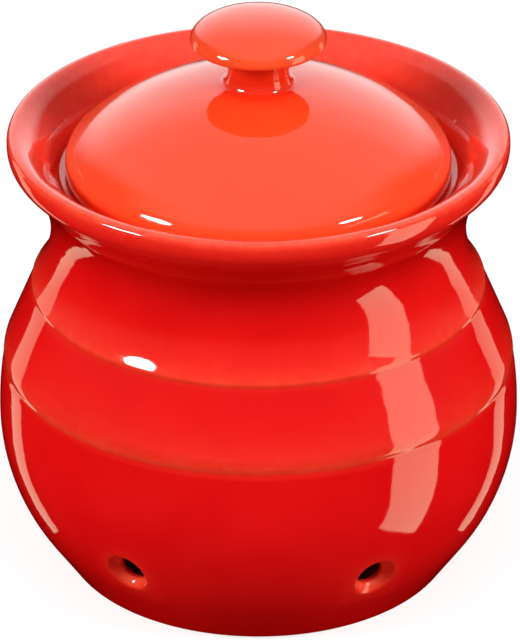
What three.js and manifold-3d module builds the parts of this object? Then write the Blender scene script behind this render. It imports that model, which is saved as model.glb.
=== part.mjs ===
// A round-bellied ceramic garlic keeper: a jar with a flared rolled rim, two ridges and a ring of
// vent holes, and a domed lid with a knob that drops into the flare.
// Lengths are millimetres and +Z is up. The origin is the centre of the foot, on the table.
import * as THREE from "three";
import { mergeVertices } from "three/addons/utils/BufferGeometryUtils.js";
import Module from "manifold-3d";

// Fineness of the round forms
const AROUND = 48;
const ARC_STEPS = 3;
const CURVE_STEPS = 6;
const DOME_STEPS = 8;
const VENT_SIDES = 20;

// Clearances between jar and lid
const SEAT_GAP = 0.3;
const SKIRT_CLEARANCE = 0.8;
const LID_CLEARANCE = 1.7;

// Foot
const FOOT_RADIUS = 48.6;
const FOOT_ROUND = 1;
const FOOT_RING_WIDTH = 4.4;
const FOOT_RECESS = 1.6;
const FOOT_RECESS_SLOPE = 1.2;
const FLOOR_THICKNESS = 5.4;

// Belly, the lowest of the three tiers
const BELLY_RADIUS = 65.5;
const BELLY_HEIGHT = 41;
const BELLY_ROUND_BELOW = 52.7;
const BELLY_ROUND_ABOVE = 88;
const WALL = 4.6;
const FLOOR_CORNER = 9;

// Ridges: each tier ends in a nose, with a narrow crease under it. How far out a nose stands is a
// share of the way from the neck to the belly.
const LOW_RIDGE_SHARE = 0.909;
const LOW_RIDGE_HEIGHT = 56.5;
const HIGH_RIDGE_SHARE = 0.383;
const HIGH_RIDGE_HEIGHT = 76.5;
const CREASE_DEPTH = 0.3;
const CREASE_HEIGHT = 0.8;
const CREASE_FALL = 1.3;

// Band between the ridges, and the shoulder above them. The shoulder's pulls are shares of its height.
const BAND_NOSE_ROUND = 9;
const BAND_TOP_SHARE = 0.416;
const SHOULDER_LEAN = THREE.MathUtils.degToRad(38);
const SHOULDER_NOSE_PULL = 0.213;
const SHOULDER_NECK_PULL = 0.507;

// Neck and rim. The neck's height is a share of the way from the high ridge to the seat, and the lip
// rises from the seat.
const NECK_SHARE = 0.502;
const NECK_RADIUS = 51.8;
const LIP_RADIUS = 62.3;
const LIP_RISE = 11.1;
const LIP_UNDER_ROUND = 5.7;
const LIP_UNDER_DROP = 3.1;
const LIP_TOP_ROUND = 2;
const LIP_INNER_ROUND = 1.7;

// Seat for the lid inside the neck
const SEAT_HEIGHT = 106.4;
const SEAT_BORE = 45.4;
const SEAT_EDGE_ROUND = 0.8;
const SEAT_BORE_LENGTH = 7;
const FLARE_LIP_PULL = 3.6;
const FLARE_LIP_LEAN = THREE.MathUtils.degToRad(21);
const FLARE_SEAT_PULL = 4.4;
const INNER_NECK_DROP = 6;
const INNER_NECK_PULL = 10;
const INNER_BELLY_PULL = 22;

// Vent holes low on the belly
const VENT_COUNT = 6;
const VENT_RADIUS = 3.2;
const VENT_HEIGHT = 21;
const VENT_OVERRUN = 6;
const VENT_TURN = THREE.MathUtils.degToRad(-62);

// Lid
const DOME_RISE = 24.6;
const DOME_ROUND = 70;
const LID_RADIUS = 47.9;
const LID_EDGE_ROUND = 6;
const LID_EDGE_FOOT_ROUND = 0.7;
const LID_WALL = 4.8;
const SKIRT_LENGTH = 5.4;
const SKIRT_WALL = 4;
const SKIRT_ROUND = 1.2;
const DOME_INSIDE_PULL = 10;
const DOME_INSIDE_TOP_PULL = 24;

// Knob, one piece with the lid
const STEM_FOOT_RADIUS = 9.8;
const STEM_WAIST_RADIUS = 7.6;
const STEM_WAIST_RISE = 3;
const STEM_FOOT_PULL = 1.4;
const STEM_WAIST_PULL = 2;
const KNOB_RADIUS = 16.9;
const KNOB_EDGE_RISE = 11;
const KNOB_TOP_RISE = 6.5;
const KNOB_UNDER_DROP = 3.1;
const KNOB_UNDER_TURN = THREE.MathUtils.degToRad(56);
const KNOB_UNDER_PULL = 1.4;
const KNOB_WAIST_PULL = 2.8;

const NECK_HEIGHT = HIGH_RIDGE_HEIGHT + NECK_SHARE * (SEAT_HEIGHT - HIGH_RIDGE_HEIGHT);
const LIP_TOP_HEIGHT = SEAT_HEIGHT + LIP_RISE;
const LIP_UNDER_HEIGHT = LIP_TOP_HEIGHT - LIP_UNDER_DROP;
const DOME_TOP = SEAT_HEIGHT + DOME_RISE;
const STEM_WAIST_HEIGHT = DOME_TOP + STEM_WAIST_RISE;
const KNOB_EDGE_HEIGHT = DOME_TOP + KNOB_EDGE_RISE;

const wasm = await Module();
wasm.setup();

function at(radius, height) {
  return new THREE.Vector2(radius, height);
}

// A point a given way from another, the angle measured from straight out
function along(from, angle, distance) {
  return at(from.x + distance * Math.cos(angle), from.y + distance * Math.sin(angle));
}

function arc(centre, radius, startAngle, endAngle, steps = ARC_STEPS) {
  const points = [];
  for (let i = 0; i <= steps; i++) {
    const angle = startAngle + ((endAngle - startAngle) * i) / steps;
    points.push(along(centre, angle, radius));
  }
  return points;
}

function ellipse(centre, radius, rise, startAngle, endAngle, steps) {
  return arc(at(0, 0), 1, startAngle, endAngle, steps).map((p) =>
    at(centre.x + p.x * radius, centre.y + p.y * rise),
  );
}

function curve(start, pullStart, pullEnd, end, steps = CURVE_STEPS) {
  return new THREE.CubicBezierCurve(start, pullStart, pullEnd, end).getPoints(steps);
}

// Drops points that repeat the one before, which joining two stretches leaves behind
function outline(...stretches) {
  const same = WALL / 1000;
  return stretches.flat().filter((p, i, all) => i === 0 || p.distanceTo(all[i - 1]) > same);
}

function turned(points) {
  return new THREE.LatheGeometry(points, AROUND).rotateX(Math.PI / 2);
}

function toSolid(geometry) {
  const bare = geometry.clone();
  bare.deleteAttribute("normal");
  bare.deleteAttribute("uv");
  const merged = mergeVertices(bare);
  const corners = merged.index.array;
  const faces = [];
  for (let i = 0; i < corners.length; i += 3) {
    const [a, b, c] = corners.slice(i, i + 3);
    if (a !== b && b !== c && c !== a) faces.push(a, b, c);
  }
  return new wasm.Manifold(
    new wasm.Mesh({
      numProp: 3,
      vertProperties: merged.attributes.position.array,
      triVerts: new Uint32Array(faces),
    }),
  );
}

function fromSolid(solid) {
  const mesh = solid.getMesh();
  const geometry = new THREE.BufferGeometry();
  geometry.setAttribute("position", new THREE.BufferAttribute(mesh.vertProperties, 3));
  geometry.setIndex(new THREE.BufferAttribute(mesh.triVerts, 1));
  geometry.computeVertexNormals();
  return geometry;
}

// Angle where a line from a point outside touches a circle, turned to one side or the other
function touchAngle(centre, radius, point, side) {
  const away = point.clone().sub(centre);
  return Math.atan2(away.y, away.x) + side * Math.acos(radius / away.length());
}

function tierRadius(share) {
  return NECK_RADIUS + share * (BELLY_RADIUS - NECK_RADIUS);
}

// The step from one tier up to the nose of the next: in to the crease, then out to the nose
function crease(noseRadius, noseHeight) {
  return [
    at(noseRadius - CREASE_DEPTH, noseHeight - CREASE_HEIGHT),
    at(noseRadius, noseHeight),
  ];
}

function footOutline() {
  const ringInside = FOOT_RADIUS - FOOT_RING_WIDTH;
  return [
    at(0, FOOT_RECESS),
    at(ringInside - FOOT_RECESS_SLOPE, FOOT_RECESS),
    at(ringInside, 0),
    at(FOOT_RADIUS - FOOT_ROUND, 0),
  ];
}

function bellyOutline() {
  const lowCentre = at(BELLY_RADIUS - BELLY_ROUND_BELOW, BELLY_HEIGHT);
  const highCentre = at(BELLY_RADIUS - BELLY_ROUND_ABOVE, BELLY_HEIGHT);
  const coneEnd = touchAngle(lowCentre, BELLY_ROUND_BELOW, at(FOOT_RADIUS, 0), 1);
  const coneLean = coneEnd + Math.PI / 2;
  const tierTop = LOW_RIDGE_HEIGHT - CREASE_HEIGHT - CREASE_FALL;
  const tierTurn = Math.asin((tierTop - BELLY_HEIGHT) / BELLY_ROUND_ABOVE);
  return [
    along(at(FOOT_RADIUS, 0), coneLean, FOOT_ROUND),
    ...arc(lowCentre, BELLY_ROUND_BELOW, coneEnd, 0, CURVE_STEPS),
    ...arc(highCentre, BELLY_ROUND_ABOVE, 0, tierTurn),
    ...crease(tierRadius(LOW_RIDGE_SHARE), LOW_RIDGE_HEIGHT),
  ];
}

function bandOutline() {
  const noseCentre = at(tierRadius(LOW_RIDGE_SHARE) - BAND_NOSE_ROUND, LOW_RIDGE_HEIGHT);
  const top = at(tierRadius(BAND_TOP_SHARE), HIGH_RIDGE_HEIGHT - CREASE_HEIGHT - CREASE_FALL);
  return [
    ...arc(noseCentre, BAND_NOSE_ROUND, 0, touchAngle(noseCentre, BAND_NOSE_ROUND, top, -1)),
    top,
    ...crease(tierRadius(HIGH_RIDGE_SHARE), HIGH_RIDGE_HEIGHT),
  ];
}

function shoulderOutline() {
  const nose = at(tierRadius(HIGH_RIDGE_SHARE), HIGH_RIDGE_HEIGHT);
  const neck = at(NECK_RADIUS, NECK_HEIGHT);
  const height = NECK_HEIGHT - HIGH_RIDGE_HEIGHT;
  return curve(
    nose,
    along(nose, Math.PI / 2 + SHOULDER_LEAN, SHOULDER_NOSE_PULL * height),
    at(neck.x, neck.y - SHOULDER_NECK_PULL * height),
    neck,
  );
}

// The neck sweeps out in the one arc that touches the round under the lip
function rimOutline() {
  const lipCentre = at(LIP_RADIUS - LIP_UNDER_ROUND, LIP_UNDER_HEIGHT);
  const aside = NECK_RADIUS - lipCentre.x;
  const below = LIP_UNDER_HEIGHT - NECK_HEIGHT;
  const neckRound =
    (aside ** 2 + below ** 2 - LIP_UNDER_ROUND ** 2) / (2 * (LIP_UNDER_ROUND - aside));
  const neckCentre = at(NECK_RADIUS + neckRound, NECK_HEIGHT);
  const meet = Math.atan2(lipCentre.y - neckCentre.y, lipCentre.x - neckCentre.x);
  const topCentre = at(LIP_RADIUS - LIP_TOP_ROUND, LIP_TOP_HEIGHT - LIP_TOP_ROUND);
  const innerCentre = at(topCentre.x, LIP_TOP_HEIGHT - LIP_INNER_ROUND);
  return [
    ...arc(neckCentre, neckRound, Math.PI, meet, CURVE_STEPS),
    ...arc(lipCentre, LIP_UNDER_ROUND, meet - Math.PI, 0),
    ...arc(topCentre, LIP_TOP_ROUND, 0, Math.PI / 2),
    ...arc(innerCentre, LIP_INNER_ROUND, Math.PI / 2, Math.PI / 2 + FLARE_LIP_LEAN),
  ];
}

// Inside of the flare, down to the flat seat and the bore under it
function seatOutline() {
  const innerCentre = at(LIP_RADIUS - LIP_TOP_ROUND, LIP_TOP_HEIGHT - LIP_INNER_ROUND);
  const flareTop = along(innerCentre, Math.PI / 2 + FLARE_LIP_LEAN, LIP_INNER_ROUND);
  const seatOutside = at(LID_RADIUS + LID_CLEARANCE, SEAT_HEIGHT);
  const edgeCentre = at(SEAT_BORE + SEAT_EDGE_ROUND, SEAT_HEIGHT - SEAT_EDGE_ROUND);
  return [
    ...curve(
      flareTop,
      along(flareTop, Math.PI + FLARE_LIP_LEAN, FLARE_LIP_PULL),
      at(seatOutside.x, seatOutside.y + FLARE_SEAT_PULL),
      seatOutside,
    ),
    ...arc(edgeCentre, SEAT_EDGE_ROUND, Math.PI / 2, Math.PI),
    at(SEAT_BORE, SEAT_HEIGHT - SEAT_BORE_LENGTH),
  ];
}

function insideOutline() {
  const neck = at(NECK_RADIUS - WALL, SEAT_HEIGHT - SEAT_BORE_LENGTH - INNER_NECK_DROP);
  const belly = at(BELLY_RADIUS - WALL, BELLY_HEIGHT);
  const round = BELLY_ROUND_BELOW - WALL;
  const floor = FOOT_RECESS + FLOOR_THICKNESS;
  const centre = at(belly.x - round, belly.y);
  const corner = Math.asin((BELLY_HEIGHT - floor - FLOOR_CORNER) / round);
  const wallFoot = along(centre, -corner, round);
  const floorEdge = at(wallFoot.x - FLOOR_CORNER, floor);
  return [
    ...curve(
      neck,
      at(neck.x, neck.y - INNER_NECK_PULL),
      at(belly.x, belly.y + INNER_BELLY_PULL),
      belly,
    ),
    ...arc(centre, round, 0, -corner),
    ...curve(
      wallFoot,
      along(wallFoot, -corner - Math.PI / 2, FLOOR_CORNER / 2),
      at(floorEdge.x + FLOOR_CORNER / 2, floor),
      floorEdge,
    ),
    at(0, floor),
  ];
}

function ventCutter(angle) {
  const inner = BELLY_RADIUS - BELLY_ROUND_BELOW + WALL + VENT_OVERRUN;
  const length = BELLY_RADIUS + VENT_OVERRUN - inner;
  return new THREE.CylinderGeometry(VENT_RADIUS, VENT_RADIUS, length, VENT_SIDES)
    .rotateZ(-Math.PI / 2)
    .translate(inner + length / 2, 0, VENT_HEIGHT)
    .rotateZ(angle);
}

function jarGeometry() {
  const profile = outline(
    footOutline(),
    bellyOutline(),
    bandOutline(),
    shoulderOutline(),
    rimOutline(),
    seatOutline(),
    insideOutline(),
  );
  let body = toSolid(turned(profile));
  for (let i = 0; i < VENT_COUNT; i++) {
    const angle = VENT_TURN + (2 * Math.PI * i) / VENT_COUNT;
    body = body.subtract(toSolid(ventCutter(angle)));
  }
  return fromSolid(body);
}

function domeCentre() {
  return at(0, DOME_TOP - DOME_ROUND);
}

// The round edge of the lid touches the dome from inside
function lidEdge() {
  const centre = domeCentre();
  const reach = LID_RADIUS - LID_EDGE_ROUND;
  const rise = Math.sqrt((DOME_ROUND - LID_EDGE_ROUND) ** 2 - reach ** 2);
  return { centre: at(reach, centre.y + rise), turn: Math.atan2(rise, reach) };
}

function knobOutline() {
  const edge = at(0, KNOB_EDGE_HEIGHT);
  const under = ellipse(edge, KNOB_RADIUS, KNOB_UNDER_DROP, 0, -KNOB_UNDER_TURN, ARC_STEPS);
  const underEnd = under[under.length - 1];
  const waist = at(STEM_WAIST_RADIUS, STEM_WAIST_HEIGHT);
  const footTurn = Math.acos(STEM_FOOT_RADIUS / DOME_ROUND);
  const foot = along(domeCentre(), footTurn, DOME_ROUND);
  return [
    ...ellipse(edge, KNOB_RADIUS, KNOB_TOP_RISE, Math.PI / 2, 0, CURVE_STEPS),
    ...under,
    ...curve(
      underEnd,
      at(underEnd.x - KNOB_UNDER_PULL, underEnd.y),
      at(waist.x, waist.y + KNOB_WAIST_PULL),
      waist,
      ARC_STEPS,
    ),
    ...curve(
      waist,
      at(waist.x, waist.y - STEM_WAIST_PULL),
      along(foot, footTurn + Math.PI / 2, STEM_FOOT_PULL),
      foot,
      ARC_STEPS,
    ),
  ];
}

function domeOutline() {
  const edge = lidEdge();
  const footTurn = Math.acos(STEM_FOOT_RADIUS / DOME_ROUND);
  const underside = SEAT_HEIGHT + SEAT_GAP;
  const footCentre = at(LID_RADIUS - LID_EDGE_FOOT_ROUND, underside + LID_EDGE_FOOT_ROUND);
  return [
    ...arc(domeCentre(), DOME_ROUND, footTurn, edge.turn, DOME_STEPS),
    ...arc(edge.centre, LID_EDGE_ROUND, edge.turn, 0),
    ...arc(footCentre, LID_EDGE_FOOT_ROUND, 0, -Math.PI / 2),
  ];
}

function lidInsideOutline() {
  const underside = SEAT_HEIGHT + SEAT_GAP;
  const skirt = SEAT_BORE - SKIRT_CLEARANCE;
  const skirtFoot = underside - SKIRT_LENGTH;
  const inside = skirt - SKIRT_WALL;
  const top = DOME_TOP - LID_WALL;
  return [
    at(skirt, underside),
    ...arc(at(skirt - SKIRT_ROUND, skirtFoot + SKIRT_ROUND), SKIRT_ROUND, 0, -Math.PI / 2),
    ...arc(at(inside + SKIRT_ROUND, skirtFoot + SKIRT_ROUND), SKIRT_ROUND, -Math.PI / 2, -Math.PI),
    ...curve(
      at(inside, underside),
      at(inside, underside + DOME_INSIDE_PULL),
      at(DOME_INSIDE_TOP_PULL, top),
      at(0, top),
    ),
  ];
}

function lidGeometry() {
  return turned(outline(knobOutline(), domeOutline(), lidInsideOutline()).reverse());
}

function piece(name, geometry, material) {
  const mesh = new THREE.Mesh(geometry, material);
  mesh.name = name;
  return mesh;
}

const jarGlaze = new THREE.MeshStandardMaterial({ color: 0xcf1712, roughness: 0.08, metalness: 0 });
const lidGlaze = new THREE.MeshStandardMaterial({ color: 0xe23322, roughness: 0.08, metalness: 0 });

const keeper = new THREE.Group();
keeper.add(piece("jar", jarGeometry(), jarGlaze));
keeper.add(piece("lid", lidGeometry(), lidGlaze));

export default keeper;
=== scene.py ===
import math

import bpy
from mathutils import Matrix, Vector


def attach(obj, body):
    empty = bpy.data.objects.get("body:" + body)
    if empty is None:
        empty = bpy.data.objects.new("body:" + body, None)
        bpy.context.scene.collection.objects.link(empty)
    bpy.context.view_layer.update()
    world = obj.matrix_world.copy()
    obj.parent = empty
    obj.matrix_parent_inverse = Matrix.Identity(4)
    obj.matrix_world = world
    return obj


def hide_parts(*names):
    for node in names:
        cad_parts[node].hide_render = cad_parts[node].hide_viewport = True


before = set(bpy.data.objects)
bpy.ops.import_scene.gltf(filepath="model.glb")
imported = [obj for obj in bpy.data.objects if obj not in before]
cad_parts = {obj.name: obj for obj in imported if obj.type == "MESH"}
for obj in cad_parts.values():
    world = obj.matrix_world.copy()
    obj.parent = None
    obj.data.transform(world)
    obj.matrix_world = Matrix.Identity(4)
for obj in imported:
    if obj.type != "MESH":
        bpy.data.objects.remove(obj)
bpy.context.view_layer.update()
mm = 0.001
print("frame loaded")


def along(point, angle, distance):
    return (point[0] + distance * math.cos(angle), point[1] + distance * math.sin(angle))


def arc(centre, radius, start, end, rise=None, steps=48):
    # rise is the height of an ellipse whose half width is radius
    rise = radius if rise is None else rise
    angles = [start + (end - start) * i / steps for i in range(steps + 1)]
    return [(centre[0] + radius * math.cos(a), centre[1] + rise * math.sin(a)) for a in angles]


def curve(start, pullStart, pullEnd, end, steps=60):
    points = []
    for i in range(steps + 1):
        t = i / steps
        weights = ((1 - t) ** 3, 3 * t * (1 - t) ** 2, 3 * t * t * (1 - t), t ** 3)
        corners = (start, pullStart, pullEnd, end)
        points.append(tuple(sum(w * c[k] for w, c in zip(weights, corners)) for k in (0, 1)))
    return points


def touchAngle(centre, radius, point, side):
    # where on the circle a straight line from the point touches it
    dx, dy = point[0] - centre[0], point[1] - centre[1]
    return math.atan2(dy, dx) + side * math.acos(radius / math.hypot(dx, dy))


def evenly(points, step):
    # the same line with a point every step along it
    lengths = [0.0]
    for a, b in zip(points, points[1:]):
        lengths.append(lengths[-1] + math.dist(a, b))
    count = max(2, round(lengths[-1] / step))
    out, k = [], 0
    for i in range(count + 1):
        want = lengths[-1] * i / count
        while k < len(lengths) - 2 and lengths[k + 1] < want:
            k += 1
        span = lengths[k + 1] - lengths[k]
        t = 0.0 if span == 0 else (want - lengths[k]) / span
        out.append(tuple(points[k][j] + (points[k + 1][j] - points[k][j]) * t for j in (0, 1)))
    return out


def softened(points, reach, step=0.1):
    # glaze rounds every corner off, so the line is blurred over a short reach
    line = evenly(points, step)
    half = math.ceil(3 * reach / step)
    weights = [math.exp(-0.5 * (i * step / reach) ** 2) for i in range(-half, half + 1)]
    total = sum(weights)
    before = [(-r, z) for r, z in reversed(line[1:half + 1])]
    after = [(-r, z) for r, z in reversed(line[-half - 1:-1])]
    padded = before + line + after
    out = []
    for i in range(len(line)):
        window = padded[i:i + 2 * half + 1]
        out.append(tuple(sum(w * p[j] for w, p in zip(weights, window)) / total for j in (0, 1)))
    out[0] = (0.0, out[0][1])
    out[-1] = (0.0, out[-1][1])
    return out


def thinned(points, slack, longest):
    # keeps the points that the shape needs, close together on tight bends
    keep = {0, len(points) - 1}
    stack = [(0, len(points) - 1)]
    while stack:
        a, b = stack.pop()
        if b - a < 2:
            continue
        ax, ay = points[a]
        bx, by = points[b]
        span = math.hypot(bx - ax, by - ay) or 1e-9
        worst, at = -1.0, a + 1
        for i in range(a + 1, b):
            off = abs((bx - ax) * (ay - points[i][1]) - (ax - points[i][0]) * (by - ay)) / span
            if off > worst:
                worst, at = off, i
        if worst > slack or span > longest:
            if worst <= slack:
                at = (a + b) // 2
            keep.add(at)
            stack += [(a, at), (at, b)]
    return [points[i] for i in sorted(keep)]


def withoutRepeats(points):
    return [p for i, p in enumerate(points) if i == 0 or math.dist(p, points[i - 1]) > 1e-6]


# lengths in mm, except under "uneven", where they are in metres
jarSize = {
    "footRadius": 48.6, "footRound": 1.0, "footRing": 4.4, "footRecess": 1.6, "recessSlope": 1.2,
    "footFlat": 0.05, "floor": 5.4, "floorCorner": 9.0, "wall": 4.6,
    "bellyRadius": 65.5, "bellyHeight": 41.0, "roundBelow": 52.7, "roundAbove": 88.0,
    "lowRidge": (64.25, 56.5), "highRidge": (57.05, 76.5),
    "creaseDepth": 0.3, "creaseHeight": 0.8, "creaseFall": 1.3,
    "bandNoseRound": 9.0, "bandTopRadius": 57.5,
    "shoulderLean": 38.0, "shoulderNosePull": 3.2, "shoulderNeckPull": 7.6,
    "neck": (51.8, 91.5), "lipRadius": 62.3, "lipUnderRound": 5.7, "lipUnderHeight": 114.4,
    "lipTopRound": 2.0, "lipTopHeight": 117.5, "lipInnerRound": 1.7,
    "seatHeight": 106.4, "seatBore": 45.4, "seatEdgeRound": 0.8, "seatBoreLength": 7.0,
    "seatOutside": 49.6, "flareLipPull": 5.2, "flareLipLean": math.radians(21),
    "flareSeatPull": 1.2, "innerNeckDrop": 6.0, "innerNeckPull": 10.0, "innerBellyPull": 22.0,
    "edgeSoftness": 0.4, "columns": 40, "rowSlack": 0.0065, "rowLongest": 2.4,
    "uneven": {"Depth": 0.00010, "Patch Size": 0.034, "Seed": 3.0, "Foot Height": 0.006},
}


def jarOutline(s):
    # from the middle of the underside, up the outside, over the lip and down to the floor inside
    points = [(0, s["footRecess"])]
    ringInside = s["footRadius"] - s["footRing"]
    points += [(ringInside - s["recessSlope"], s["footRecess"]), (ringInside, 0),
               (s["footRadius"] - s["footRound"], 0)]
    lowCentre = (s["bellyRadius"] - s["roundBelow"], s["bellyHeight"])
    highCentre = (s["bellyRadius"] - s["roundAbove"], s["bellyHeight"])
    foot = (s["footRadius"], 0)
    coneEnd = touchAngle(lowCentre, s["roundBelow"], foot, 1)
    points.append(along(foot, coneEnd + math.pi / 2, s["footRound"]))
    points += arc(lowCentre, s["roundBelow"], coneEnd, 0)

    # two ridges, each over a crease
    step = s["creaseHeight"] + s["creaseFall"]
    tierTurn = math.asin((s["lowRidge"][1] - step - s["bellyHeight"]) / s["roundAbove"])
    points += arc(highCentre, s["roundAbove"], 0, tierTurn)
    for ridge in ("lowRidge", "highRidge"):
        nose = s[ridge]
        points += [(nose[0] - s["creaseDepth"], nose[1] - s["creaseHeight"]), nose]
        if ridge == "lowRidge":
            centre = (nose[0] - s["bandNoseRound"], nose[1])
            top = (s["bandTopRadius"], s["highRidge"][1] - step)
            points += arc(centre, s["bandNoseRound"], 0,
                          touchAngle(centre, s["bandNoseRound"], top, -1))
            points.append(top)

    # shoulder, then a neck whose round runs into the rolled lip
    nose, neck = s["highRidge"], s["neck"]
    points += curve(nose, along(nose, math.radians(90 + s["shoulderLean"]), s["shoulderNosePull"]),
                    (neck[0], neck[1] - s["shoulderNeckPull"]), neck)
    lipRound = s["lipUnderRound"]
    lipCentre = (s["lipRadius"] - lipRound, s["lipUnderHeight"])
    aside, below = neck[0] - lipCentre[0], lipCentre[1] - neck[1]
    neckRound = (aside ** 2 + below ** 2 - lipRound ** 2) / (2 * (lipRound - aside))
    neckCentre = (neck[0] + neckRound, neck[1])
    meet = math.atan2(lipCentre[1] - neckCentre[1], lipCentre[0] - neckCentre[0])
    points += arc(neckCentre, neckRound, math.pi, meet)
    points += arc(lipCentre, lipRound, meet - math.pi, 0)
    topCentre = (s["lipRadius"] - s["lipTopRound"], s["lipTopHeight"] - s["lipTopRound"])
    points += arc(topCentre, s["lipTopRound"], 0, math.pi / 2)

    # flare inside the lip, down to the seat and the bore that the lid's skirt hangs in
    innerCentre = (topCentre[0], s["lipTopHeight"] - s["lipInnerRound"])
    lean = math.pi / 2 + s["flareLipLean"]
    points += arc(innerCentre, s["lipInnerRound"], math.pi / 2, lean)
    flareTop = along(innerCentre, lean, s["lipInnerRound"])
    seat = (s["seatOutside"], s["seatHeight"])
    points += curve(flareTop, along(flareTop, lean + math.pi / 2, s["flareLipPull"]),
                    (seat[0], seat[1] + s["flareSeatPull"]), seat)
    edge = s["seatEdgeRound"]
    points += arc((s["seatBore"] + edge, s["seatHeight"] - edge), edge, math.pi / 2, math.pi)
    boreEnd = s["seatHeight"] - s["seatBoreLength"]
    points.append((s["seatBore"], boreEnd))

    # inside of the neck, belly and floor
    innerNeck = (neck[0] - s["wall"], boreEnd - s["innerNeckDrop"])
    belly = (s["bellyRadius"] - s["wall"], s["bellyHeight"])
    points += curve(innerNeck, (innerNeck[0], innerNeck[1] - s["innerNeckPull"]),
                    (belly[0], belly[1] + s["innerBellyPull"]), belly)
    innerRound = s["roundBelow"] - s["wall"]
    floor = s["footRecess"] + s["floor"]
    corner = math.asin((belly[1] - floor - s["floorCorner"]) / innerRound)
    points += arc(lowCentre, innerRound, 0, -corner)
    wallFoot = along(lowCentre, -corner, innerRound)
    floorEdge = (wallFoot[0] - s["floorCorner"], floor)
    points += curve(wallFoot, along(wallFoot, -corner - math.pi / 2, s["floorCorner"] / 2),
                    (floorEdge[0] + s["floorCorner"] / 2, floor), floorEdge)
    points.append((0, floor))
    return points


lidSize = {
    "domeTop": 131.0, "domeRound": 70.0, "radius": 47.9, "edgeRound": 6.0, "edgeFootRound": 0.7,
    "underside": 106.7, "wall": 4.8, "skirtRadius": 44.6, "skirtLength": 5.4, "skirtWall": 4.0,
    "skirtRound": 1.2, "insidePull": 10.0, "insideTopPull": 24.0,
    "stemFootRadius": 9.8, "stemWaist": (7.6, 134.0), "stemFootPull": 1.4, "stemWaistPull": 2.0,
    "knobRadius": 16.9, "knobEdgeHeight": 142.0, "knobTopRise": 6.5, "knobUnderDrop": 3.1,
    "knobUnderTurn": math.radians(56), "knobUnderPull": 1.4, "knobWaistPull": 2.8,
    "edgeSoftness": 0.22, "sides": 216, "rowSlack": 0.004, "rowLongest": 2.0,
    "uneven": {"Depth": 0.00008, "Patch Size": 0.03, "Seed": 11.0, "Foot Height": 0.0001},
}


def lidOutline(s):
    # from the top of the knob, down the stem and dome, round the skirt and up the hollow inside
    centre = (0, s["domeTop"] - s["domeRound"])
    reach = s["radius"] - s["edgeRound"]
    rise = math.sqrt((s["domeRound"] - s["edgeRound"]) ** 2 - reach ** 2)
    turn = math.atan2(rise, reach)
    knobEdge = (0, s["knobEdgeHeight"])
    points = arc(knobEdge, s["knobRadius"], math.pi / 2, 0, s["knobTopRise"])
    points += arc(knobEdge, s["knobRadius"], 0, -s["knobUnderTurn"], s["knobUnderDrop"])
    under, waist = points[-1], s["stemWaist"]
    points += curve(under, (under[0] - s["knobUnderPull"], under[1]),
                    (waist[0], waist[1] + s["knobWaistPull"]), waist)
    footTurn = math.acos(s["stemFootRadius"] / s["domeRound"])
    stemFoot = along(centre, footTurn, s["domeRound"])
    points += curve(waist, (waist[0], waist[1] - s["stemWaistPull"]),
                    along(stemFoot, footTurn + math.pi / 2, s["stemFootPull"]), stemFoot)
    points += arc(centre, s["domeRound"], footTurn, turn)
    points += arc((reach, centre[1] + rise), s["edgeRound"], turn, 0)
    edgeFoot = (s["radius"] - s["edgeFootRound"], s["underside"] + s["edgeFootRound"])
    points += arc(edgeFoot, s["edgeFootRound"], 0, -math.pi / 2)
    points.append((s["skirtRadius"], s["underside"]))
    skirtFoot, edge = s["underside"] - s["skirtLength"], s["skirtRound"]
    inside = s["skirtRadius"] - s["skirtWall"]
    points += arc((s["skirtRadius"] - edge, skirtFoot + edge), edge, 0, -math.pi / 2)
    points += arc((inside + edge, skirtFoot + edge), edge, -math.pi / 2, -math.pi)
    top = s["domeTop"] - s["wall"]
    points += curve((inside, s["underside"]), (inside, s["underside"] + s["insidePull"]),
                    (s["insideTopPull"], top), (0, top))
    return points


maskNames = ("thin_and_painted_light", "pool_and_painted_shade", "bare")  # lighter glaze (thinned glaze and painted light), darker glaze (collected glaze and painted shade) and bare clay

# each share of lighter and darker glaze stands with the reach in mm over which it fades; lighter
# is thinned glaze and painted light, darker is collected glaze and painted shade
jarRunAndPaintedLight = {
    # above each ridge: thinned glaze at its nose and painted light on the slope; below it:
    # collected glaze and painted shade in the crease
    "ridgeThin": (0.75, 1.0), "slopeThinAndPaintedLight": (0.6, 3.6), "creaseThin": (0.75, 0.4),
    "creasePoolAndPaintedShade": (0.4, 3.0), "creasePoolAndPaintedShadeStart": 0.6,
    # darker towards the foot: collected glaze and painted shade
    "footPoolAndPaintedShade": (1.0, 12.0), "footPoolAndPaintedShadeTop": 2.0,
    # painted shade under the lip, where the rim's shadow falls on the neck
    "neckPaintedShade": 0.9, "neckPaintedShadeMiddle": 103.0, "neckPaintedShadeReach": 8.0,
    "lipThin": (1.1, 2.2), "lipInset": 1.0, "lipThinAcross": 2.6, "flareThin": 0.55,
    "bareHeight": 0.25, "bareInset": 1.0,
}
lidRunAndPaintedShade = {
    "knobThin": (0.35, 1.8), "edgeThin": 0.12, "edgeThinTop": 113.0,
    # painted shade on the stem under the knob, and collected glaze with painted shade at the
    # stem's foot
    "stemFootPoolAndPaintedShade": (0.7, 1.6), "stemFootDrop": 0.5,
    "stemPaintedShade": 0.75, "stemPaintedShadeStart": 1.0, "stemPaintedShadeEnd": 2.2, "bareHeight": 0.5,
}


def fade(distance, reach):
    return math.exp(-max(0.0, distance) / reach)


def fadedShare(shareAndReach, distance):
    share, reach = shareAndReach
    return share * fade(distance, reach)


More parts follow.
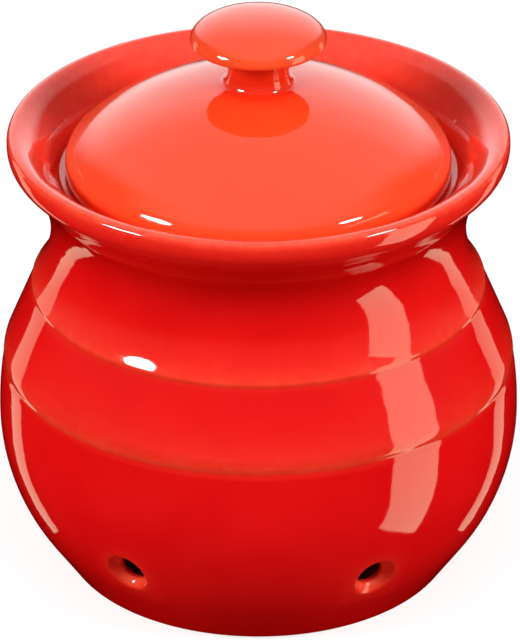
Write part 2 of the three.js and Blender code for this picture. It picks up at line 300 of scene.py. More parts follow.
def jarGlaze(r, z, outside):
    s, run = jarSize, jarRunAndPaintedLight
    thin_and_painted_light, pool_and_painted_shade = 0.0, 0.0
    if outside:
        # each ridge gets real thinned glaze at its nose, painted light on the slope above and
        # painted shade in the crease below
        for ridge in ("lowRidge", "highRidge"):
            above = z - (s[ridge][1] - 0.5 * s["creaseHeight"])
            if above >= 0:
                thin_and_painted_light = max(thin_and_painted_light, fadedShare(run["ridgeThin"], above),
                           fadedShare(run["slopeThinAndPaintedLight"], above))
            else:
                thin_and_painted_light = max(thin_and_painted_light, fadedShare(run["creaseThin"], -above))
                pool_and_painted_shade = max(pool_and_painted_shade, fadedShare(run["creasePoolAndPaintedShade"], -above - run["creasePoolAndPaintedShadeStart"]))
        # darker towards the foot: collected glaze and painted shade
        pool_and_painted_shade = max(pool_and_painted_shade, fadedShare(run["footPoolAndPaintedShade"], z - run["footPoolAndPaintedShadeTop"]))
        # painted shade under the lip, where the rim's shadow falls on the neck
        underLipShade = (z - run["neckPaintedShadeMiddle"]) / run["neckPaintedShadeReach"]
        pool_and_painted_shade = max(pool_and_painted_shade, run["neckPaintedShade"] * math.exp(-underLipShade ** 2))
    across = abs(r - (s["lipRadius"] - run["lipInset"]))
    thin_and_painted_light = max(thin_and_painted_light, fadedShare(run["lipThin"], abs(z - s["lipTopHeight"]))
               * fade(across, run["lipThinAcross"]))
    if not outside and z > s["seatHeight"]:
        thin_and_painted_light = max(thin_and_painted_light, run["flareThin"])
    ringInside = s["footRadius"] - s["footRing"]
    onRing = ringInside - run["bareInset"] < r < s["footRadius"]
    bare = 1.0 if outside and z < run["bareHeight"] and onRing else 0.0
    return thin_and_painted_light, pool_and_painted_shade, bare


def lidGlaze(r, z):
    s, run = lidSize, lidRunAndPaintedShade
    knobEdge = (s["knobRadius"], s["knobEdgeHeight"])
    stemFoot = (s["stemFootRadius"], s["domeTop"] - run["stemFootDrop"])
    thin_and_painted_light = fadedShare(run["knobThin"], math.dist((r, z), knobEdge))
    # collected glaze with painted shade at the stem's foot, under the knob
    pool_and_painted_shade = fadedShare(run["stemFootPoolAndPaintedShade"], math.dist((r, z), stemFoot))
    if s["underside"] < z < run["edgeThinTop"] and r > s["skirtRadius"]:
        thin_and_painted_light = max(thin_and_painted_light, run["edgeThin"])
    # painted shade on the stem, where the knob shades it
    stemLow = s["domeTop"] - run["stemPaintedShadeStart"]
    stemHigh = s["knobEdgeHeight"] - run["stemPaintedShadeEnd"]
    if r < s["stemFootRadius"] and stemLow < z < stemHigh:
        pool_and_painted_shade = max(pool_and_painted_shade, run["stemPaintedShade"])
    skirtFoot = s["underside"] - s["skirtLength"]
    bare = 1.0 if z < skirtFoot + run["bareHeight"] else 0.0
    return thin_and_painted_light, pool_and_painted_shade, bare


def newTree(name, inputs):
    tree = bpy.data.node_groups.new(name, "GeometryNodeTree")
    tree.interface.new_socket("Geometry", in_out="INPUT", socket_type="NodeSocketGeometry")
    tree.interface.new_socket("Geometry", in_out="OUTPUT", socket_type="NodeSocketGeometry")
    for label, kind, value in inputs:
        socket = tree.interface.new_socket(label, in_out="INPUT", socket_type="NodeSocket" + kind)
        if value is not None:
            socket.default_value = value
    return tree


def adder(tree):
    def add(kind, **settings):
        node = tree.nodes.new(kind)
        for key, value in settings.items():
            setattr(node, key, value)
        return node
    return add


def joiner(tree):
    def join(start, end):
        tree.links.new(start, end)
    return join


def mathNode(tree, operation, first, second=None):
    node = tree.nodes.new("ShaderNodeMath")
    node.operation = operation
    for socket, value in zip(node.inputs, (first, second)):
        if value is None:
            continue
        if isinstance(value, (int, float)):
            socket.default_value = value
        else:
            tree.links.new(value, socket)
    return node.outputs[0]


clayInputs = [("Depth", "Float", 0.0001), ("Patch Size", "Float", 0.03), ("Seed", "Float", 3.0),
              ("Foot Height", "Float", 0.004)]
pieceInputs = clayInputs + [("Glaze", "Material", None)]


def unevenClayTree():
    # fired clay is never quite true: the surface sinks in a little here and there, above the foot
    tree = newTree("uneven clay", clayInputs)
    add, join = adder(tree), joiner(tree)
    given, out = add("NodeGroupInput"), add("NodeGroupOutput")
    place, normal = add("GeometryNodeInputPosition"), add("GeometryNodeInputNormal")
    cloud = add("ShaderNodeTexNoise", noise_dimensions="4D")
    cloud.inputs["Detail"].default_value = 1.0
    join(place.outputs[0], cloud.inputs["Vector"])
    join(given.outputs["Seed"], cloud.inputs["W"])
    join(mathNode(tree, "DIVIDE", 1.0, given.outputs["Patch Size"]), cloud.inputs["Scale"])
    split = add("ShaderNodeSeparateXYZ")
    join(place.outputs[0], split.inputs[0])
    raised = add("ShaderNodeMapRange", interpolation_type="SMOOTHSTEP")
    join(split.outputs["Z"], raised.inputs["Value"])
    join(given.outputs["Foot Height"], raised.inputs["From Max"])
    depth = mathNode(tree, "MULTIPLY", cloud.outputs["Fac"], given.outputs["Depth"])
    depth = mathNode(tree, "MULTIPLY", depth, raised.outputs["Result"])
    inward = mathNode(tree, "MULTIPLY", depth, -1.0)
    push = add("ShaderNodeVectorMath", operation="SCALE")
    join(normal.outputs[0], push.inputs[0])
    join(inward, push.inputs["Scale"])
    move = add("GeometryNodeSetPosition")
    join(given.outputs["Geometry"], move.inputs["Geometry"])
    join(push.outputs[0], move.inputs["Offset"])
    join(move.outputs[0], out.inputs[0])
    return tree


unevenClay = unevenClayTree()


def finishTree(tree, mesh, given, out, flip=False):
    # closes the seams, makes the clay uneven and ends in Realize Instances and Set Material
    add, join = adder(tree), joiner(tree)
    merge = add("GeometryNodeMergeByDistance")
    merge.inputs["Distance"].default_value = 0.002 * mm
    join(mesh, merge.inputs["Geometry"])
    last = merge.outputs[0]
    if flip:
        turn = add("GeometryNodeFlipFaces")
        join(last, turn.inputs["Mesh"])
        last = turn.outputs[0]
    clay = add("GeometryNodeGroup", node_tree=unevenClay)
    join(last, clay.inputs["Geometry"])
    for label, _, _ in clayInputs:
        join(given.outputs[label], clay.inputs[label])
    smooth = add("GeometryNodeSetShadeSmooth")
    join(clay.outputs[0], smooth.inputs[0])
    realize = add("GeometryNodeRealizeInstances")
    join(smooth.outputs[0], realize.inputs[0])
    dress = add("GeometryNodeSetMaterial")
    join(realize.outputs[0], dress.inputs["Geometry"])
    join(given.outputs["Glaze"], dress.inputs["Material"])
    join(dress.outputs[0], out.inputs[0])


def ringOfWedgesTree():
    # one wedge of the jar, with its vent, goes round the axis as often as there are vents
    tree = newTree("ring of wedges", [("Wedges", "Int", 6), ("Turn", "Float", 0.0)] + pieceInputs)
    add, join = adder(tree), joiner(tree)
    given, out = add("NodeGroupInput"), add("NodeGroupOutput")
    line = add("GeometryNodeMeshLine")
    join(given.outputs["Wedges"], line.inputs["Count"])
    line.inputs["Offset"].default_value = (0, 0, 0)
    step = mathNode(tree, "DIVIDE", 2 * math.pi, given.outputs["Wedges"])
    angle = mathNode(tree, "MULTIPLY", add("GeometryNodeInputIndex").outputs[0], step)
    angle = mathNode(tree, "ADD", angle, given.outputs["Turn"])
    spin = add("ShaderNodeCombineXYZ")
    join(angle, spin.inputs["Z"])
    place = add("GeometryNodeInstanceOnPoints")
    join(line.outputs[0], place.inputs["Points"])
    join(given.outputs["Geometry"], place.inputs["Instance"])
    join(spin.outputs[0], place.inputs["Rotation"])
    realize = add("GeometryNodeRealizeInstances")
    join(place.outputs[0], realize.inputs[0])
    finishTree(tree, realize.outputs[0], given, out)
    return tree


def potterWheelTree():
    # turns an outline, drawn in the XZ plane, round the Z axis
    tree = newTree("potter's wheel", [("Sides", "Int", 96)] + pieceInputs)
    add, join = adder(tree), joiner(tree)
    given, out = add("NodeGroupInput"), add("NodeGroupOutput")
    size = add("GeometryNodeAttributeDomainSize")
    join(given.outputs["Geometry"], size.inputs[0])
    grid = add("GeometryNodeMeshGrid")
    join(mathNode(tree, "ADD", given.outputs["Sides"], 1), grid.inputs["Vertices X"])
    join(size.outputs["Point Count"], grid.inputs["Vertices Y"])
    place, split = add("GeometryNodeInputPosition"), add("ShaderNodeSeparateXYZ")
    join(place.outputs[0], split.inputs[0])
    share = mathNode(tree, "ADD", split.outputs["X"], 0.5)
    angle = mathNode(tree, "MULTIPLY", share, 2 * math.pi)
    last = mathNode(tree, "SUBTRACT", size.outputs["Point Count"], 1)
    ring = mathNode(tree, "MULTIPLY", mathNode(tree, "ADD", split.outputs["Y"], 0.5), last)
    ring = mathNode(tree, "ROUND", ring)

    def fromOutline(dataType, field):
        node = add("GeometryNodeSampleIndex", data_type=dataType)
        join(given.outputs["Geometry"], node.inputs["Geometry"])
        join(field, node.inputs["Value"])
        join(ring, node.inputs["Index"])
        return node.outputs[0]

    spot = add("ShaderNodeSeparateXYZ")
    join(fromOutline("FLOAT_VECTOR", place.outputs[0]), spot.inputs[0])
    corner = add("ShaderNodeCombineXYZ")
    for axis, turn in (("X", "COSINE"), ("Y", "SINE")):
        join(mathNode(tree, "MULTIPLY", spot.outputs["X"], mathNode(tree, turn, angle)),
             corner.inputs[axis])
    join(spot.outputs["Z"], corner.inputs["Z"])
    mesh = grid.outputs["Mesh"]
    for label in maskNames:
        named = add("GeometryNodeInputNamedAttribute", data_type="FLOAT")
        named.inputs["Name"].default_value = label
        store = add("GeometryNodeStoreNamedAttribute", data_type="FLOAT", domain="POINT")
        store.inputs["Name"].default_value = label
        join(mesh, store.inputs["Geometry"])
        join(fromOutline("FLOAT", named.outputs[0]), store.inputs["Value"])
        mesh = store.outputs[0]
    move = add("GeometryNodeSetPosition")
    join(mesh, move.inputs["Geometry"])
    join(corner.outputs[0], move.inputs["Position"])
    finishTree(tree, move.outputs[0], given, out, flip=True)
    return tree


def plainMesh(name, points, edges, faces, masks):
    # masks holds a row of thin, pool and bare for each point
    mesh = bpy.data.meshes.new(name)
    mesh.from_pydata([tuple(c * mm for c in p) for p in points], edges, faces)
    for label, values in zip(maskNames, zip(*masks)):
        layer = mesh.attributes.new(label, "FLOAT", "POINT")
        layer.data.foreach_set("value", list(values))
    piece = bpy.data.objects.new(name, mesh)
    bpy.context.scene.collection.objects.link(piece)
    return piece


def shaped(piece, tree, values):
    # runs the tree on the piece and keeps the result as a plain mesh
    modifier = piece.modifiers.new(tree.name, "NODES")
    modifier.node_group = tree
    identifiers = {item.name: item.identifier for item in tree.interface.items_tree
                   if item.item_type == "SOCKET" and item.in_out == "INPUT"}
    for label, value in values.items():
        modifier[identifiers[label]] = value
    seen = bpy.context.evaluated_depsgraph_get()
    result = bpy.data.meshes.new_from_object(piece.evaluated_get(seen), depsgraph=seen)
    piece.modifiers.remove(modifier)
    piece.data = result
    return piece


# besides the glaze's deep colour, the lighter colour serves thinned glaze and painted light, the
# darker one collected glaze and painted shade
glazeLook = {
    "jar": {"deep": (0.87, 0.0042, 0.0052), "thin_and_painted_light": (1.0, 0.084, 0.034),
            "pooledAndPaintedShade": (0.64, 0.0024, 0.0010), "clay": (0.72, 0.60, 0.46),
            "cloud": (0.96, 0.009, 0.0085), "cloudShare": 0.6, "speckShare": 0.25, "gloss": 0.45},
    "lid": {"deep": (0.97, 0.060, 0.012), "thin_and_painted_light": (1.0, 0.13, 0.04),
            "pooledAndPaintedShade": (0.70, 0.009, 0.003), "clay": (0.72, 0.60, 0.46),
            "cloud": (0.99, 0.078, 0.017), "cloudShare": 0.6, "speckShare": 0.15, "gloss": 0.5},
}

glazeGrain = {
    # size in mm, detail, roughness and seed of each noise
    "cloud": (26, 2.0, 0.45, 1.0), "broken": (2.6, 3.0, 0.6, 2.0),
    "speckPlaces": (5, 1.0, 0.5, 5.0), "skin": (9, 1.0, 0.4, 7.0), "pits": (1.4, 1.0, 0.5, 8.0),
    # noise levels between which an effect goes from none to full, or between the last two values
    "cloudRange": (0.36, 0.66), "raggedRange": (0.32, 0.68, 0.75, 1.15),
    "dotRange": (0.10, 0.17, 1.0, 0.0), "speckRange": (0.56, 0.64),
    "speckSpacing": 2.2, "poolAndPaintedShadeShare": 0.85, "pitShare": 0.05,
    "roughness": 0.035, "brokenRoughness": 0.03, "bareRoughness": 0.6,
    "bumpStrength": 0.25, "bumpHeight": 0.6, "refraction": 1.5,
}


def shaderGroup(name, inputs, outputs):
    tree = bpy.data.node_groups.new(name, "ShaderNodeTree")
    for label, kind, value in inputs:
        socket = tree.interface.new_socket(label, in_out="INPUT", socket_type="NodeSocket" + kind)
        socket.default_value = value
    for label, kind in outputs:
        tree.interface.new_socket(label, in_out="OUTPUT", socket_type="NodeSocket" + kind)
    return tree


def mixColour(tree, share, first, second):
    node = tree.nodes.new("ShaderNodeMix")
    node.data_type = "RGBA"
    for index, output in ((0, share), (6, first), (7, second)):
        tree.links.new(output, node.inputs[index])
    return node.outputs[2]


def noiseNode(tree, place, size, detail, roughness, seed):
    node = tree.nodes.new("ShaderNodeTexNoise")
    node.noise_dimensions = "4D"
    node.inputs["Scale"].default_value = 1 / (size * mm)
    node.inputs["Detail"].default_value = detail
    node.inputs["Roughness"].default_value = roughness
    node.inputs["W"].default_value = seed
    tree.links.new(place, node.inputs["Vector"])
    return node.outputs["Fac"]


def rangeNode(tree, value, low, high, outLow=0.0, outHigh=1.0):
    node = tree.nodes.new("ShaderNodeMapRange")
    node.interpolation_type = "SMOOTHSTEP"
    for label, number in (("From Min", low), ("From Max", high), ("To Min", outLow),
                          ("To Max", outHigh)):
        node.inputs[label].default_value = number
    tree.links.new(value, node.inputs["Value"])
    return node.outputs["Result"]


def runGlazeAndPaintedLightGroup():
    # lighter on edges, where the glaze is thinned and where light is painted on, darker where
    # glaze collects and where shade is painted, cloudy and faintly specked everywhere
    tree = shaderGroup("run glaze and painted light", [
        ("Place", "Vector", (0, 0, 0)), ("Thin_And_Painted_Light", "Float", 0.0), ("Pool_And_Painted_Shade", "Float", 0.0),
        ("Bare", "Float", 0.0), ("Deep Colour", "Color", (0.6, 0.01, 0.01, 1)),
        ("Thin_And_Painted_Light Colour", "Color", (0.9, 0.1, 0.05, 1)),
        ("Pool_And_Painted_Shade Colour", "Color", (0.4, 0.005, 0.005, 1)),
        ("Cloud Colour", "Color", (0.8, 0.03, 0.02, 1)),
        ("Clay Colour", "Color", (0.7, 0.6, 0.5, 1)),
        ("Cloud Share", "Float", 0.5), ("Speck Share", "Float", 0.3),
    ], [("Colour", "Color"), ("Roughness", "Float"), ("Height", "Float")])
    given = tree.nodes.new("NodeGroupInput").outputs
    out = tree.nodes.new("NodeGroupOutput").inputs
    place, grain = given["Place"], glazeGrain

    def times(first, second):
        return mathNode(tree, "MULTIPLY", first, second)

    def noise(name):
        return noiseNode(tree, place, *grain[name])

    broken = noise("broken")
    cloud = times(rangeNode(tree, noise("cloud"), *grain["cloudRange"]), given["Cloud Share"])
    pool_and_painted_shade = times(given["Pool_And_Painted_Shade"], grain["poolAndPaintedShadeShare"])
    thin_and_painted_light = times(given["Thin_And_Painted_Light"], rangeNode(tree, broken, *grain["raggedRange"]))
    dots = tree.nodes.new("ShaderNodeTexVoronoi")
    dots.inputs["Scale"].default_value = 1 / (grain["speckSpacing"] * mm)
    tree.links.new(place, dots.inputs["Vector"])
    dot = rangeNode(tree, dots.outputs["Distance"], *grain["dotRange"])
    speckled = rangeNode(tree, noise("speckPlaces"), *grain["speckRange"])
    speck = times(times(dot, speckled), given["Speck Share"])
    colour = given["Deep Colour"]
    for share, name in ((cloud, "Cloud"), (pool_and_painted_shade, "Pool_And_Painted_Shade"), (thin_and_painted_light, "Thin_And_Painted_Light"), (speck, "Pool_And_Painted_Shade"),
                        (given["Bare"], "Clay")):
        colour = mixColour(tree, share, colour, given[name + " Colour"])
    tree.links.new(colour, out["Colour"])

    rough = mathNode(tree, "ADD", times(given["Bare"], grain["bareRoughness"]), grain["roughness"])
    rough = mathNode(tree, "ADD", rough, times(broken, grain["brokenRoughness"]))
    tree.links.new(rough, out["Roughness"])
    height = mathNode(tree, "ADD", noise("skin"), times(noise("pits"), grain["pitShare"]))
    tree.links.new(height, out["Height"])
    return tree


runGlazeAndPaintedLight = runGlazeAndPaintedLightGroup()


def glazeMaterial(name, look):
    material = bpy.data.materials.new(name)
    material.use_nodes = True
    tree = material.node_tree
    shader = tree.nodes["Principled BSDF"]
    shader.inputs["IOR"].default_value = glazeGrain["refraction"]
    shader.inputs["Specular IOR Level"].default_value = look["gloss"]
    glaze = tree.nodes.new("ShaderNodeGroup")
    glaze.node_tree = runGlazeAndPaintedLight
    where = tree.nodes.new("ShaderNodeTexCoord")
    tree.links.new(where.outputs["Object"], glaze.inputs["Place"])
    for label in maskNames:
        mask = tree.nodes.new("ShaderNodeAttribute")
        mask.attribute_name = label
        tree.links.new(mask.outputs["Fac"], glaze.inputs[label.title()])
    for label, key in (("Deep Colour", "deep"), ("Thin_And_Painted_Light Colour", "thin_and_painted_light"), ("Pool_And_Painted_Shade Colour", "pooledAndPaintedShade"),
                       ("Cloud Colour", "cloud"), ("Clay Colour", "clay")):
        glaze.inputs[label].default_value = (*look[key], 1)
    glaze.inputs["Cloud Share"].default_value = look["cloudShare"]
    glaze.inputs["Speck Share"].default_value = look["speckShare"]
    bump = tree.nodes.new("ShaderNodeBump")
    bump.inputs["Strength"].default_value = glazeGrain["bumpStrength"]
    bump.inputs["Distance"].default_value = glazeGrain["bumpHeight"] * mm
    tree.links.new(glaze.outputs["Colour"], shader.inputs["Base Color"])
    tree.links.new(glaze.outputs["Roughness"], shader.inputs["Roughness"])
    tree.links.new(glaze.outputs["Height"], bump.inputs["Height"])
    tree.links.new(bump.outputs["Normal"], shader.inputs["Normal"])
    return material


jarMaterial = glazeMaterial("jar red glaze", glazeLook["jar"])
lidMaterial = glazeMaterial("lid red glaze", glazeLook["lid"])
print("glaze made")


ventSize = {
    "count": 6, "radius": 3.2, "height": 21.0, "turn": math.radians(-62),
    "lipRound": 2.4, "bevelRound": 0.25, "bevelDepth": 2.8, "innerRound": 1.0,
    "patchColumns": 12, "patchRows": 12, "patchReach": 9.6, "innerPatchReach": 8.9,
    # loops of points round the hole, as shares of the way or as steps
    "wallShares": (0.3, 0.55, 0.75, 0.9, 1.0), "lipSteps": 6, "boreShares": (0.25, 0.5, 0.75),
    "innerLipSteps": 4, "innerWallShares": (1.0, 0.8, 0.5, 0.25),
    # how light the glaze is there: the lip's glaze grows thinner inwards, and its low side is
    # lighter still, painted light where the lower lip catches the lamps
    "wallThin": 0.2, "wallThinReach": 1.2, "innerWallThinReach": 1.0,
    "lipThin": 0.5, "lipThinGrowth": 0.15, "lipThinSides": 0.2, "lipPaintedLightLow": 0.8,
    "boreThin": 0.2, "borePool": 0.1, "innerLipThin": 0.4,
}


def radiusAt(side, z):
    # side is a list of points whose height only goes one way
    for a, b in zip(side, side[1:]):
        low, high = (a, b) if a[1] <= b[1] else (b, a)
        if low[1] <= z <= high[1] and high[1] > low[1]:
            t = (z - low[1]) / (high[1] - low[1])
            return low[0] + (high[0] - low[0]) * t
    raise ValueError(f"no wall at height {z}")


def rowsBetween(low, high, count):
    return [low + (high - low) * i / count for i in range(count + 1)]


def jarRows(s, v):
    # the outline as the mesh's rows, with even rows where a vent goes through the wall
    line = softened(withoutRepeats(jarOutline(s)), s["edgeSoftness"])
    crest = max(range(len(line)), key=lambda i: line[i][1])
    belly = max(range(crest), key=lambda i: line[i][0])
    footEnd = max(i for i in range(belly) if line[i][1] < s["footFlat"])
    lowInside = [i for i in range(crest, len(line)) if line[i][1] < s["lowRidge"][1]]
    innerBelly = max(lowInside, key=lambda i: line[i][0])
    outerSide, innerSide = line[footEnd:belly + 1], line[innerBelly:]
    height, reach, innerReach = v["height"], v["patchReach"], v["innerPatchReach"]
    outPatch = [(radiusAt(outerSide, z), z)
                for z in rowsBetween(height - reach, height + reach, v["patchRows"])]
    inPatch = [(radiusAt(innerSide, z), z)
               for z in rowsBetween(height + innerReach, height - innerReach, v["patchRows"])]

    before = line[:footEnd] + [p for p in outerSide if p[1] < outPatch[0][1]]
    middle = [p for p in outerSide if p[1] > outPatch[-1][1]] + line[belly + 1:innerBelly]
    middle += [p for p in innerSide if p[1] > inPatch[0][1]]
    after = [p for p in innerSide if p[1] < inPatch[-1][1]]
    slack, longest = s["rowSlack"], s["rowLongest"]
    before = thinned(before + [outPatch[0]], slack, longest)[:-1]
    middle = thinned([outPatch[-1]] + middle + [inPatch[0]], slack, longest)[1:-1]
    after = thinned([inPatch[-1]] + after, slack, longest)[1:]
    outStart = len(before)
    inStart = outStart + len(outPatch) + len(middle)
    return before + outPatch + middle + inPatch + after, outStart, inStart, outerSide, innerSide


def jarWedge():
    # one wedge of the jar, from axis to axis along the outline, with a vent in the middle of it
    s, v = jarSize, ventSize
    rows, outStart, inStart, outerSide, innerSide = jarRows(s, v)
    crestRow = max(range(len(rows)), key=lambda i: rows[i][1])
    columns, patchColumns, patchRows = s["columns"], v["patchColumns"], v["patchRows"]
    firstHole = (columns - patchColumns) // 2
    lastHole = firstHole + patchColumns
    half = math.pi / v["count"]
    points, masks, faces, grid = [], [], [], []

    def put(x, y, z, glaze):
        points.append((x, y, z))
        masks.append(glaze)
        return len(points) - 1

    for k, (r, z) in enumerate(rows):
        row = []
        for j in range(columns + 1):
            inHole = any(start < k < start + patchRows for start in (outStart, inStart))
            if inHole and firstHole < j < lastHole:
                row.append(None)
                continue
            angle = -half + 2 * half * j / columns
            row.append(put(r * math.cos(angle), r * math.sin(angle), z,
                           jarGlaze(r, z, k <= crestRow)))
        grid.append(row)
    for k in range(len(rows) - 1):
        inHole = any(start <= k < start + patchRows for start in (outStart, inStart))
        for j in range(columns):
            if inHole and firstHole <= j < lastHole:
                continue
            faces.append((grid[k][j], grid[k][j + 1], grid[k + 1][j + 1], grid[k + 1][j]))

    def rim(start):
        # the patch's edge, once round, starting at its lower right corner as seen from outside
        low, high = start, start + patchRows
        if rows[low][1] > rows[high][1]:
            low, high = high, low
        rowStep = 1 if high > low else -1
        loop = [grid[low + rowStep * i][lastHole] for i in range(patchRows)]
        loop += [grid[high][lastHole - i] for i in range(patchColumns)]
        loop += [grid[high - rowStep * i][firstHole] for i in range(patchRows)]
        loop += [grid[low][firstHole + i] for i in range(patchColumns)]
        return loop

    outRim, inRim = rim(outStart), rim(inStart)
    count = len(outRim)
    angles = [-math.pi / 4 + 2 * math.pi * i / count for i in range(count)]
    radius, height = v["radius"], v["height"]
    outRing, inRing = radius + v["lipRound"], radius + v["innerRound"]

    def surface(side, y, z):
        return math.sqrt(radiusAt(side, z) ** 2 - y * y)

    def ringOnWall(side, edge, ringRadius, share, thinReach):
        # on the wall, from the patch's square edge (share = 0) to the ring round the hole
        loop = []
        for i, angle in enumerate(angles):
            start = points[edge[i]]
            y = start[1] + (ringRadius * math.cos(angle) - start[1]) * share
            z = start[2] + (height + ringRadius * math.sin(angle) - start[2]) * share
            gap = math.hypot(y, z - height) - ringRadius
            thin_and_painted_light = v["wallThin"] * fade(gap, thinReach)
            loop.append(put(surface(side, y, z), y, z, (thin_and_painted_light, 0, 0)))
        return loop

    def bend(side, ringRadius, depth, t, thinness):
        # the rounded edge between wall and hole, from the wall (t = 0) to the hole (t = 1)
        corner = 2 * t * (1 - t) * v["bevelRound"]
        wallShare = (1 - t) ** 2 + t * (1 - t) - corner / 2
        holeShare = t * t + t * (1 - t) - corner / 2
        rho = wallShare * ringRadius + (corner + holeShare) * radius
        loop = []
        for angle in angles:
            cos, sin = math.cos(angle), math.sin(angle)
            startX = surface(side, ringRadius * cos, height + ringRadius * sin)
            cornerX = surface(side, radius * cos, height + radius * sin)
            x = wallShare * startX + corner * cornerX + holeShare * (cornerX + depth)
            # the low side of the lip gets painted light, where the lit lower lip catches the lamps
            thin_and_painted_light = thinness * (v["lipThinSides"] - v["lipPaintedLightLow"] * min(sin, 0))
            loop.append(put(x, rho * cos, height + rho * sin, (thin_and_painted_light, 0, 0)))
        return loop

    loops = [outRim]
    for share in v["wallShares"]:
        loops.append(ringOnWall(outerSide, outRim, outRing, share, v["wallThinReach"]))
    for i in range(1, v["lipSteps"] + 1):
        thinness = min(1.0, v["lipThin"] + v["lipThinGrowth"] * i)
        loops.append(bend(outerSide, outRing, -v["bevelDepth"], i / v["lipSteps"], thinness))
    boreStart = loops[-1]
    boreEnd = bend(innerSide, inRing, v["innerRound"], 1.0, v["boreThin"])
    for share in v["boreShares"]:
        loop = []
        for a, b in zip(boreStart, boreEnd):
            spot = [points[a][c] + (points[b][c] - points[a][c]) * share for c in range(3)]
            loop.append(put(*spot, (v["boreThin"], v["borePool"], 0)))
        loops.append(loop)
    loops.append(boreEnd)
    for i in range(1, v["innerLipSteps"]):
        loops.append(bend(innerSide, inRing, v["innerRound"], 1 - i / v["innerLipSteps"],
                          v["innerLipThin"]))
    for share in v["innerWallShares"]:
        loops.append(ringOnWall(innerSide, inRim, inRing, share, v["innerWallThinReach"]))
    loops.append(inRim)
    for first, second in zip(loops, loops[1:]):
        for i in range(count):
            j = (i + 1) % count
            faces.append((first[i], first[j], second[j], second[i]))
    return plainMesh("jar_body", points, [], faces, masks)


jarBody = shaped(jarWedge(), ringOfWedgesTree(), {
    "Wedges": ventSize["count"], "Turn": ventSize["turn"], **jarSize["uneven"],
    "Glaze": jarMaterial,
})
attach(jarBody, "jar")
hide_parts("jar")
print("jar made", len(jarBody.data.polygons))


def lidProfile():
    s = lidSize
    line = softened(withoutRepeats(lidOutline(s)), s["edgeSoftness"])
    line = thinned(line, s["rowSlack"], s["rowLongest"])
    edges = [(i, i + 1) for i in range(len(line) - 1)]
    return plainMesh("lid_body", [(r, 0, z) for r, z in line], edges, [],
                     [lidGlaze(r, z) for r, z in line])


lidBody = shaped(lidProfile(), potterWheelTree(), {
    "Sides": lidSize["sides"], **lidSize["uneven"], "Glaze": lidMaterial,
})
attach(lidBody, "lid")
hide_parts("lid")
print("lid made", len(lidBody.data.polygons))


stageLook = {
    "floorReach": 6.0, "floorColour": 0.42, "floorGlow": 0.74,
    # the studio in reflections: where each part of it begins and ends, and its brightness there
    "backSlope": (0.55, 0.75), "sideDim": 0.52, "back": (0.36, 0.52, 0.0, 1.0),
    "front": (-0.15, 0.15, 0.0, 0.16), "ceiling": (0.6, 0.92, 0.0, 0.8),
    "wall": (0.5, 0.95, 0.0, 0.9),
    "matt": (-0.1, 0.1, 0.43, 0.21),  # what the matt share of a surface gets, below and above
    "key": {"azimuth": 63, "elevation": 32, "distance": 1.25, "size": (0.42, 0.22),
            "brightness": 33},
    "top": {"azimuth": 0, "elevation": 60, "distance": 1.25, "size": (0.8, 0.6),
            "brightness": 1.4},
    "cards": {
        # azimuth from and to, elevation from and to, azimuth that the card faces, lean,
        # brightness; they show in the glaze alone
        "left oval": (-75, -54, 26, 38, -64, 0, 45), "right oval": (54, 71, 37.5, 45, 62, 0, 45),
        "right window": (57.4, 80.8, -41, 27, 95, 0, 4.0),
        "left strip": (-136, -123.5, -45, 16, -130, -7, 1.4),
        "right strip": (122, 133.5, -45, 16, 128, 7, 1.4),
    },
    "cardDistance": 1.0, "cardColour": (1.0, 0.94, 0.68),
    "centreHeight": 0.06, "lampAimHeight": 0.07,
}


def makeFloor():
    # white by its own glow; it takes the jar's shadow and is seen by the camera alone
    size, grey = stageLook["floorReach"], stageLook["floorColour"]
    mesh = bpy.data.meshes.new("floor")
    mesh.from_pydata([(-size, -size, 0), (size, -size, 0), (size, size, 0), (-size, size, 0)], [],
                     [(0, 1, 2, 3)])
    floor = bpy.data.objects.new("floor", mesh)
    bpy.context.scene.collection.objects.link(floor)
    material = bpy.data.materials.new("pale floor")
    material.use_nodes = True
    shader = material.node_tree.nodes["Principled BSDF"]
    shader.inputs["Base Color"].default_value = (grey, grey, grey, 1)
    shader.inputs["Roughness"].default_value = 1.0
    shader.inputs["Specular IOR Level"].default_value = 0.0
    shader.inputs["Emission Color"].default_value = (1, 1, 1, 1)
    shader.inputs["Emission Strength"].default_value = stageLook["floorGlow"]
    mesh.materials.append(material)
    floor.visible_diffuse = False
    floor.visible_glossy = False
    floor.visible_shadow = False


def makeWorld():
    # a white wall and ceiling behind and above, and a dim room in front
    world = bpy.data.worlds.new("studio")
    bpy.context.scene.world = world
    world.use_nodes = True
    tree, look = world.node_tree, stageLook
    light = tree.nodes["Background"]
    light.inputs["Color"].default_value = (1, 1, 1, 1)
    where = tree.nodes.new("ShaderNodeTexCoord")
    split = tree.nodes.new("ShaderNodeSeparateXYZ")
    tree.links.new(where.outputs["Generated"], split.inputs[0])
    x, y, z = split.outputs

    def both(operation, first, second):
        return mathNode(tree, operation, first, second)

    slopeY, slopeZ = look["backSlope"]
    side = both("ADD", both("MULTIPLY", y, slopeY), both("MULTIPLY", z, slopeZ))
    side = both("SUBTRACT", side, both("MULTIPLY", both("MULTIPLY", x, x), look["sideDim"]))
    front = both("ADD", rangeNode(tree, z, *look["front"]), rangeNode(tree, z, *look["ceiling"]))
    strength = both("MAXIMUM", rangeNode(tree, side, *look["back"]), front)
    wall = both("MULTIPLY", rangeNode(tree, y, *look["wall"]), strength)
    strength = both("ADD", strength, wall)
    path = tree.nodes.new("ShaderNodeLightPath")
    shown = both("MAXIMUM", path.outputs["Is Camera Ray"], path.outputs["Is Glossy Ray"])
    shown = both("MAXIMUM", shown, path.outputs["Is Transmission Ray"])
    matt = both("MULTIPLY", both("SUBTRACT", 1.0, shown), rangeNode(tree, z, *look["matt"]))
    strength = both("ADD", both("MULTIPLY", strength, shown), matt)
    tree.links.new(strength, light.inputs["Strength"])


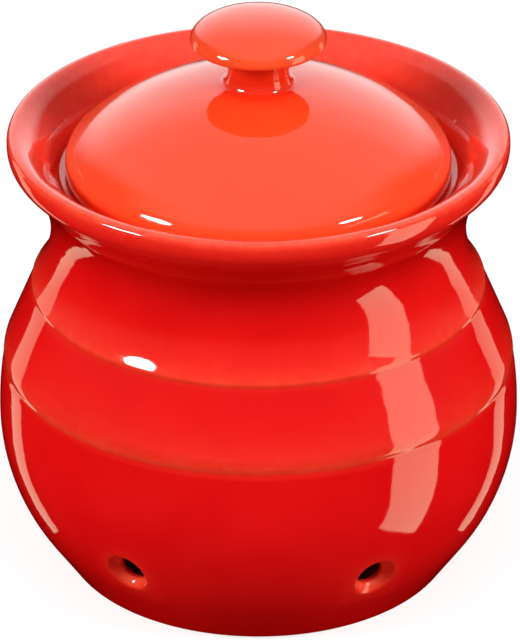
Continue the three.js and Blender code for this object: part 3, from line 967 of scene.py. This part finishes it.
def makeLamp(name, place, target, size, power, diffuse=True, glossy=True):
    data = bpy.data.lights.new(name, "AREA")
    data.shape = "RECTANGLE"
    data.size, data.size_y = size
    data.energy = power
    lamp = bpy.data.objects.new(name, data)
    bpy.context.scene.collection.objects.link(lamp)
    lamp.location = place
    aim = Vector(target) - Vector(place)
    lamp.rotation_euler = aim.to_track_quat("-Z", "Y").to_euler()
    lamp.visible_camera = False
    lamp.visible_diffuse = diffuse
    lamp.visible_glossy = glossy
    return lamp


def around(azimuth, elevation, distance, height):
    # azimuth 0 is the side that the camera stands on, and grows to the camera's right
    a, e = math.radians(azimuth), math.radians(elevation)
    return (distance * math.sin(a) * math.cos(e), -distance * math.cos(a) * math.cos(e),
            height + distance * math.sin(e))


def lampPower(size, brightness):
    return brightness * math.pi * size[0] * size[1]


def makeCard(name, left, right, low, high, facing, lean, brightness):
    # a flat upright card that fills the given angles as seen from the jar
    distance = stageLook["cardDistance"]
    ahead = distance * math.cos(math.radians((left + right) / 2 - facing))
    sides = [ahead * math.tan(math.radians(azimuth - facing)) for azimuth in (left, right)]
    heights = [distance * math.tan(math.radians(elevation)) for elevation in (low, high)]
    face, across = Vector(around(facing, 0, 1, 0)), Vector(around(facing + 90, 0, 1, 0))
    middle = Vector((0, 0, stageLook["centreHeight"] + sum(heights) / 2))
    place = face * ahead + across * sum(sides) / 2 + middle
    size = (abs(sides[1] - sides[0]), heights[1] - heights[0])
    lamp = makeLamp(name, place, place - face, size, lampPower(size, brightness), diffuse=False)
    lamp.rotation_euler.rotate_axis("Z", math.radians(lean))
    if "oval" in name:
        lamp.data.shape = "ELLIPSE"
    else:
        lamp.data.color = stageLook["cardColour"]


makeFloor()
makeWorld()
for name, side in (("key", -1), ("key", 1), ("top", 1)):
    lamp = stageLook[name]
    place = around(side * lamp["azimuth"], lamp["elevation"], lamp["distance"],
                   stageLook["centreHeight"])
    makeLamp(name, place, (0, 0, stageLook["lampAimHeight"]), lamp["size"],
             lampPower(lamp["size"], lamp["brightness"]), glossy=False)
for name, values in stageLook["cards"].items():
    makeCard(name, *values)
print("stage set")


view = {"elevation": math.radians(28.23), "distance": 1.3835, "targetHeight": 0.064,
        "aimRight": 0.00039, "lens": 309.4, "sensorWidth": 36.0, "nearest": 0.01, "farthest": 30.0}


def makeCamera():
    data = bpy.data.cameras.new("camera")
    camera = bpy.data.objects.new("camera", data)
    bpy.context.scene.collection.objects.link(camera)
    data.lens, data.sensor_width = view["lens"], view["sensorWidth"]
    data.clip_start, data.clip_end = view["nearest"], view["farthest"]
    target = Vector((view["aimRight"], 0, view["targetHeight"]))
    back = Vector((0, -math.cos(view["elevation"]), math.sin(view["elevation"])))
    camera.location = target + back * view["distance"]
    camera.rotation_euler = (-back).to_track_quat("-Z", "Y").to_euler()
    bpy.context.scene.camera = camera


makeCamera()
bpy.context.scene.view_settings.view_transform = "Standard"

print("done")
